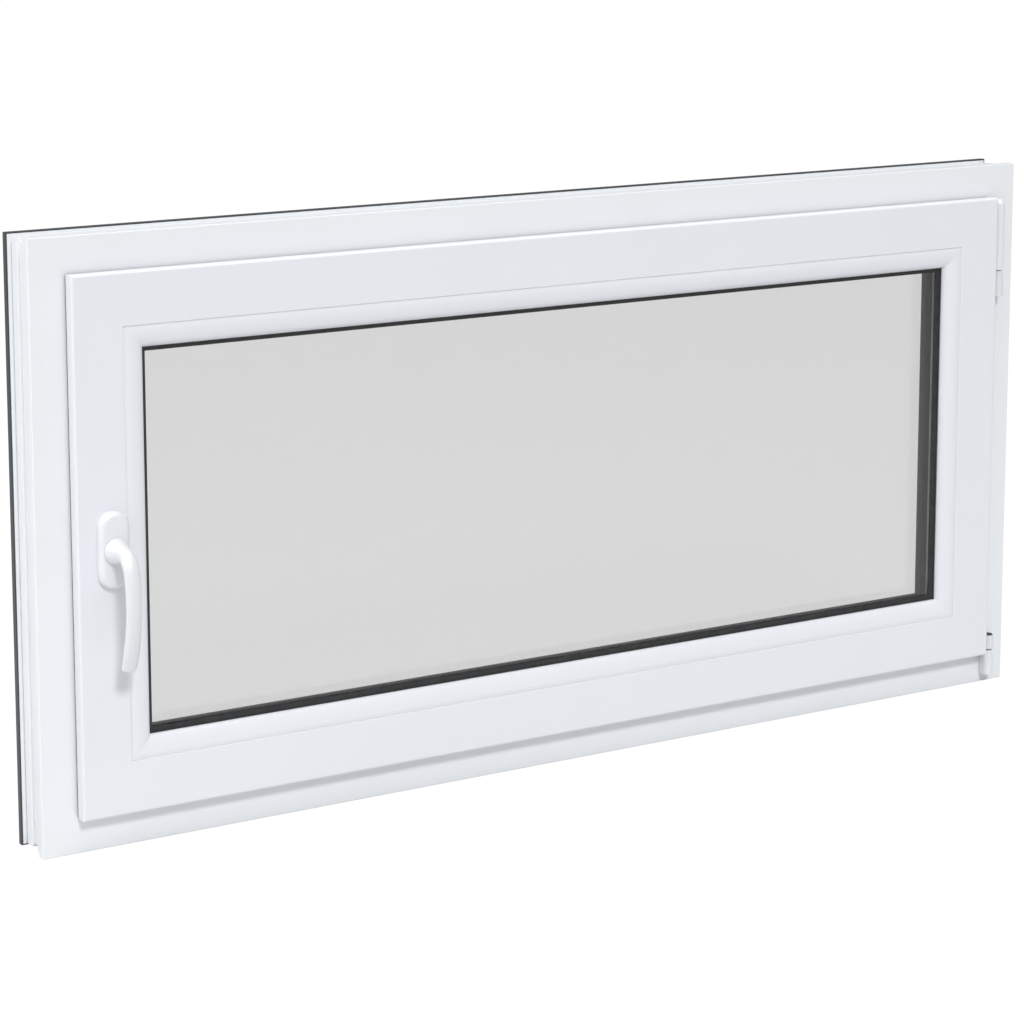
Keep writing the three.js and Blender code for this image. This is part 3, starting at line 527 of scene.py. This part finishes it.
def hinge_screws():
    """The same for the screws in the two bearings' leaves and in the corner strap."""
    leaf_front = ROOM_FACE - 2.6 * MM  # room side of the bearings' leaves
    beside_pin = 9 * MM
    pin_low, pin_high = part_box("stay_bearing_pin")
    x = (pin_low.x + pin_high.x) / 2 + beside_pin
    screws = []
    # millimetres from the bearing's foot to its lower and its upper screw
    for node, lower, upper in (("corner_bearing", 5, 18), ("stay_bearing", 6, 19)):
        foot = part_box(node)[0].z
        for end, height in (("a", lower), ("b", upper)):
            place = Vector((x, leaf_front, foot + height * MM))
            screws.append((f"{node}_screw_{end}", "frame", place, Vector((0, -1, 0))))
    plate_thickness, behind_room_face = 3 * MM, 25 * MM
    strap_low, strap_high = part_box("corner_strap")
    for number, drop in enumerate((12, 30, 48)):  # millimetres below the strap's top
        x = strap_low.x + plate_thickness
        place = Vector((x, ROOM_FACE + behind_room_face, strap_high.z - drop * MM))
        screws.append((f"corner_strap_screw_{number}", "sash", place, Vector((1, 0, 0))))
    return screws


def build_screws():
    """Screws where the hardware's plates are drilled, each one turned its own way."""
    turn_step = 1.1  # radians from one screw's recess to the next one's
    mesh = screw_mesh()
    screws = keep_and_faceplate_screws() + hinge_screws()
    for number, (name, body, place, facing) in enumerate(screws, start=1):
        screw = bpy.data.objects.new(name, mesh)
        screw.location = place
        screw.rotation_mode = "QUATERNION"
        own_turn = Quaternion((0, 0, 1), turn_step * number)
        screw.rotation_quaternion = facing.to_track_quat("Z", "Y") @ own_turn
        bpy.context.scene.collection.objects.link(screw)
        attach(screw, body)


def build_hinges():
    refined("corner_bearing", "frame", "white_coat", COAT, 0.2 * MM)
    refined("corner_bearing_cap", "frame", "white_cap", CAP, 0.4 * MM, 3)
    refined("corner_pivot_pin", "pivot", "zinc_steel", STEEL["left"], 0.15 * MM)
    refined("corner_strap", "sash", "white_coat", COAT, 0.4 * MM, 3)
    refined("stay_bearing", "frame", "white_coat", COAT, 0.4 * MM, 3)
    refined("stay_bearing_pin", "frame", "zinc_steel", STEEL["left"], 0.3 * MM)
    refined("stay_arm", "stay", "zinc_steel", STEEL["bottom"], 0.25 * MM)
    refined("stay_cover", "stay", "white_cap", CAP, 0.4 * MM, 3)
    build_strap_plug()


def build_strap_plug():
    """Black plug that closes the top of the strap's socket, on the axis of the pivot pin."""
    socket_top = 57 * MM  # above the window's bottom edge
    outline = [(3.2, -3), (3.2, 0.15), (4.9, 0.2), (4.9, 0.7), (4.2, 1.5), (2.4, 2.1), (0.6, 2.3)]
    plug = piece_from(lathed(outline), "strap_plug", PLASTIC)
    low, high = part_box("corner_pivot_pin")
    plug.location = ((low.x + high.x) / 2, (low.y + high.y) / 2, FLOOR_Z + socket_top)
    settle(plug, "sash", "black_plastic")


# ------------------------------------------------------------------ handle

ROUND = 64  # points round the handle's sections


def upright_outline(y, width, height, corner):
    """Points round an upright plate with corners of the given radius, at depth y."""
    points = []
    for i in range(ROUND):
        angle = 2 * pi * (i + 0.5) / ROUND
        side_x = 1 if cos(angle) > 0 else -1
        side_z = 1 if sin(angle) > 0 else -1
        x = side_x * (width / 2 - corner) + corner * cos(angle)
        z = side_z * (height / 2 - corner) + corner * sin(angle)
        points.append(Vector((HANDLE.x + x, y, HANDLE.z + z)))
    return points


def build_rosette():
    """Cover with a generously rounded edge, hollow behind, round the lever's sleeve."""
    low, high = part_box("rosette_cover")
    width, height = high.x - low.x, high.z - low.z
    front, back = low.y, high.y
    corner = 15.5 * MM
    edge = 6.0 * MM
    wall = 1.6 * MM
    arcs = 10
    rings = [upright_outline(back, width, height, corner)]
    for i in range(arcs + 1):
        angle = pi / 2 * i / arcs
        inset = edge * (1 - cos(angle))
        y = front + edge * (1 - sin(angle))
        rings.append(upright_outline(y, width - 2 * inset, height - 2 * inset, corner - inset))
    hole = 8.5 * MM  # radius round the lever's sleeve
    lip = 0.4 * MM  # chamfer of its rim
    for y, radius in ((front, hole + lip), (front + lip, hole), (front + wall, hole)):
        rings.append(upright_outline(y, 2 * radius, 2 * radius, radius))
    ceiling = edge * 0.75  # how far in from the outline the hollow's flat front stops
    for y, inset in ((front + wall, ceiling), (front + edge, wall), (back, wall)):
        rings.append(upright_outline(y, width - 2 * inset, height - 2 * inset, corner - inset))
    cover = piece_from(bridged(bmesh.new(), rings, closed=True), "rosette_cover_fine", CAP)
    settle(soften(cover, 0.25 * MM), "sash", "white_cap", "rosette_cover")
    refined("rosette_base", "sash", "white_cap", CAP, 0.3 * MM)


def between(p, q, r, s, t):
    """Value a share t of the way from q to r, on a Catmull-Rom curve through all four."""
    linear = (r - p) * t
    square = (2 * p - 5 * q + 4 * r - s) * t**2
    cubic = (3 * q - p - 3 * r + s) * t**3
    return 0.5 * (2 * q + linear + square + cubic)


def spline(points, steps):
    """Smooth curve through tuples of any length, with "steps" pieces between two of them."""
    padded = [points[0], *points, points[-1]]
    out = []
    for four in zip(padded, padded[1:], padded[2:], padded[3:]):
        for k in range(steps):
            out.append(tuple(between(*values, k / steps) for values in zip(*four)))
    out.append(tuple(points[-1]))
    return out


def build_lever():
    """One casting: sleeve and flared collar, a bend out of the neck, and a flattened grip."""
    # Each station is depth from the sash's room face and height from the spindle, then the
    # section's half width and half thickness, all in millimetres.
    sleeve = [(-1, 0, 8.1, 8.1), (-10.2, 0, 8.1, 8.1)]
    body = [
        (-10.3, 0, 12.2, 12.2),
        (-11.2, 0, 12.6, 12.6),
        (-14, 0, 12.1, 12.1),
        (-20, 0, 9.9, 9.9),
        (-27, 0, 8.3, 8.2),
        (-34, -1.8, 7.9, 7.6),
        (-40.5, -8, 8.0, 6.8),
        (-44.6, -18, 8.0, 6.1),
        (-46.8, -36, 7.9, 5.6),
        (-46.4, -56, 7.7, 5.4),
        (-43.4, -77, 7.9, 5.2),
        (-38.6, -95, 8.0, 4.9),
        (-33.6, -109, 7.8, 4.6),
    ]
    steps = 5
    stations = sleeve + spline(body, steps)
    rings = []
    for i, (y, z, half_width, half_depth) in enumerate(stations):
        before = stations[max(i - 1, 0)]
        after = stations[min(i + 1, len(stations) - 1)]
        tangent = Vector((0, after[0] - before[0], after[1] - before[1])).normalized()
        if i < len(sleeve) + steps:  # sleeve and collar stand square to the sash
            tangent = Vector((0, -1, 0))
        rings.append(lever_ring(y, z, tangent, half_width, half_depth))
    last_y, last_z, half_width, half_depth = stations[-1]
    tip_length = 3.2
    tip_steps = 6
    for k in range(1, tip_steps):
        angle = pi / 2 * k / tip_steps
        reach = tip_length * sin(angle)
        shrink = cos(angle)
        y, z = last_y + tangent.y * reach, last_z + tangent.z * reach
        rings.append(lever_ring(y, z, tangent, half_width * shrink, half_depth * shrink))
    lever = piece_from(bridged(bmesh.new(), rings), "handle_lever_fine", COAT)
    settle(lever, "handle", "white_coat", "handle_lever")


def lever_ring(y, z, tangent, half_width, half_depth):
    """Oval section of the lever, square to its run."""
    across = Vector((1, 0, 0))
    out = across.cross(tangent)
    centre = Vector((HANDLE.x, SASH_FACE + y * MM, HANDLE.z + z * MM))
    ring = []
    for i in range(ROUND):
        angle = 2 * pi * i / ROUND
        ring.append(centre + (across * half_width * cos(angle) + out * half_depth * sin(angle)) * MM)
    return ring


# ------------------------------------------------------------------ studio


def seen_directly(tree):
    """1 for what the camera sees itself or through glass, 0 for what lights the object."""
    path = tree.nodes.new("ShaderNodeLightPath")
    either = tree.nodes.new("ShaderNodeMath")
    either.operation = "MAXIMUM"
    tree.links.new(path.outputs["Is Camera Ray"], either.inputs[0])
    tree.links.new(path.outputs["Is Transmission Ray"], either.inputs[1])
    return either.outputs["Value"]


def build_floor():
    """Pale matt floor, washed out to the backdrop's white with only a trace of shadow left."""
    half_size = 60
    washed_out = 0.88
    glow_strength = 1.08
    gap = 0.2 * MM  # between the floor and the window's bottom edge
    bm = bmesh.new()
    bmesh.ops.create_grid(bm, x_segments=8, y_segments=8, size=half_size)
    look = Look("pale_floor", (0.8, 0.8, 0.8), 0.9)
    look.vary_color(2, 0.004)
    tree = look.tree
    glow = tree.nodes.new("ShaderNodeEmission")
    glow.inputs["Strength"].default_value = glow_strength
    share = tree.nodes.new("ShaderNodeMath")
    share.operation = "MULTIPLY"
    share.inputs[1].default_value = washed_out
    mix = tree.nodes.new("ShaderNodeMixShader")
    look.link(seen_directly(tree), share.inputs[0])
    look.link(share.outputs["Value"], mix.inputs["Fac"])
    look.link(look.shader.outputs["BSDF"], mix.inputs[1])
    look.link(glow.outputs["Emission"], mix.inputs[2])
    look.link(mix.outputs["Shader"], tree.nodes["Material Output"].inputs["Surface"])
    floor = piece_from(bm, "studio_floor", look.material)
    floor.location.z = FLOOR_Z - gap


def build_world():
    """White backdrop to the eye and through glass, a dimmer even light on everything else."""
    world = bpy.data.worlds.new("studio")
    bpy.context.scene.world = world
    world.use_nodes = True
    tree = world.node_tree
    tree.nodes.clear()
    output = tree.nodes.new("ShaderNodeOutputWorld")
    mix = tree.nodes.new("ShaderNodeMixShader")
    tree.links.new(seen_directly(tree), mix.inputs["Fac"])
    ambient, backdrop = 0.305, 1.02
    for socket, strength in ((mix.inputs[1], ambient), (mix.inputs[2], backdrop)):
        light = tree.nodes.new("ShaderNodeBackground")
        light.inputs["Color"].default_value = (1, 1, 1, 1)
        light.inputs["Strength"].default_value = strength
        tree.links.new(light.outputs["Background"], socket)
    tree.links.new(mix.outputs["Shader"], output.inputs["Surface"])


def lamp_facing(data, azimuth, elevation, distance):
    """Aims a light at the middle of the window, azimuth counted left from its front."""
    centre = Vector(((LEFT + RIGHT) / 2, ROOM_FACE, (FLOOR_Z + TOP) / 2))
    a, e = radians(azimuth), radians(elevation)
    towards = Vector((-sin(a) * cos(e), -cos(a) * cos(e), sin(e)))
    lamp = bpy.data.objects.new(data.name, data)
    lamp.location = centre + towards * distance
    lamp.rotation_euler = towards.to_track_quat("Z", "Y").to_euler()
    bpy.context.scene.collection.objects.link(lamp)


def build_lights():
    """A broad sun from the upper left of the front, and soft boxes at the left and above."""
    key = bpy.data.lights.new("key", "SUN")
    key.angle = radians(11)
    key.energy = 1.48
    lamp_facing(key, azimuth=14, elevation=40, distance=5)
    softboxes = (  # azimuth, elevation, size in metres, power in watts
        ("left_fill", 95, 25, 2.0, 30.5),
        ("top_fill", 0, 85, 2.5, 48),
    )
    for name, azimuth, elevation, size, power in softboxes:
        softbox = bpy.data.lights.new(name, "AREA")
        softbox.shape = "SQUARE"
        softbox.size = size
        softbox.energy = power
        lamp_facing(softbox, azimuth, elevation, distance=3)


def build_camera():
    """The viewing angle of a product shot from the left, with a small downward lens shift."""
    downward = radians(9.54)
    turned_right = radians(32.15)
    data = bpy.data.cameras.new("camera")
    data.sensor_width = 36
    data.lens = 107.93
    data.shift_y = -0.17
    data.clip_end = 200
    camera = bpy.data.objects.new("camera", data)
    camera.location = (-1.718, -2.6265, 0.980)
    camera.rotation_euler = (pi / 2 - downward, 0, -turned_right)
    bpy.context.scene.collection.objects.link(camera)
    bpy.context.scene.camera = camera


build_camera()
build_frame_bars()
build_sash_bars()
build_seals()
build_glazing()
build_hardware()
build_hinges()
build_screws()
build_rosette()
build_lever()
build_floor()
build_world()
build_lights()
bpy.context.scene.view_settings.view_transform = "Standard"
